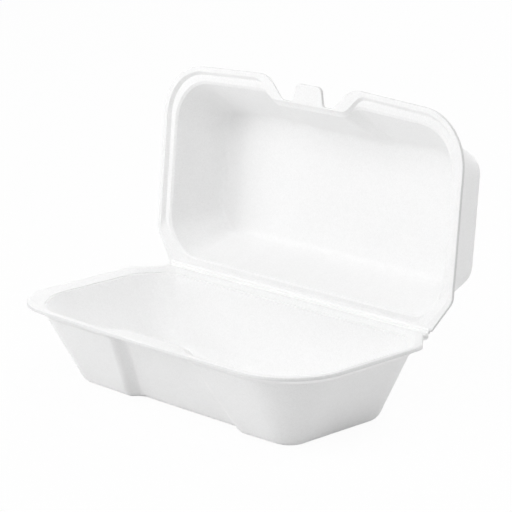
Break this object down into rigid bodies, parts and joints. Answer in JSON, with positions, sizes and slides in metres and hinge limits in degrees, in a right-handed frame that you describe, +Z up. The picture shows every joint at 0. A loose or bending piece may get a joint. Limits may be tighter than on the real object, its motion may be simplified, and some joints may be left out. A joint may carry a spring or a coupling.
{
  "type": "foam clamshell takeaway container",
  "caption": "Hinged moulded foam food container with a drafted tray, a rolled rim, a domed lid and a locking tab between two notches, lid standing open.",
  "frame": {"origin": "centre of the flat underside of the tray, on the surface it rests on", "axes": "+Z up, +X along the hinge line, -Y towards the front of the tray, +Y towards the hinge"},
  "size_m": [0.2456, 0.175, 0.1792],
  "materials": {
    "foam": "matte white foam with a fine skin"
  },
  "bodies": {
    "tray": {"base_tray": "foam"},
    "lid": {"lid": "foam"}
  },
  "joints": [
    {"name": "lid_hinge", "type": "hinge", "parent": "tray", "child": "lid", "pos_m": [0, 0.05315, 0.05155], "axis": [1, 0, 0], "range_deg": [-84.1, 95.9]}
  ]
}
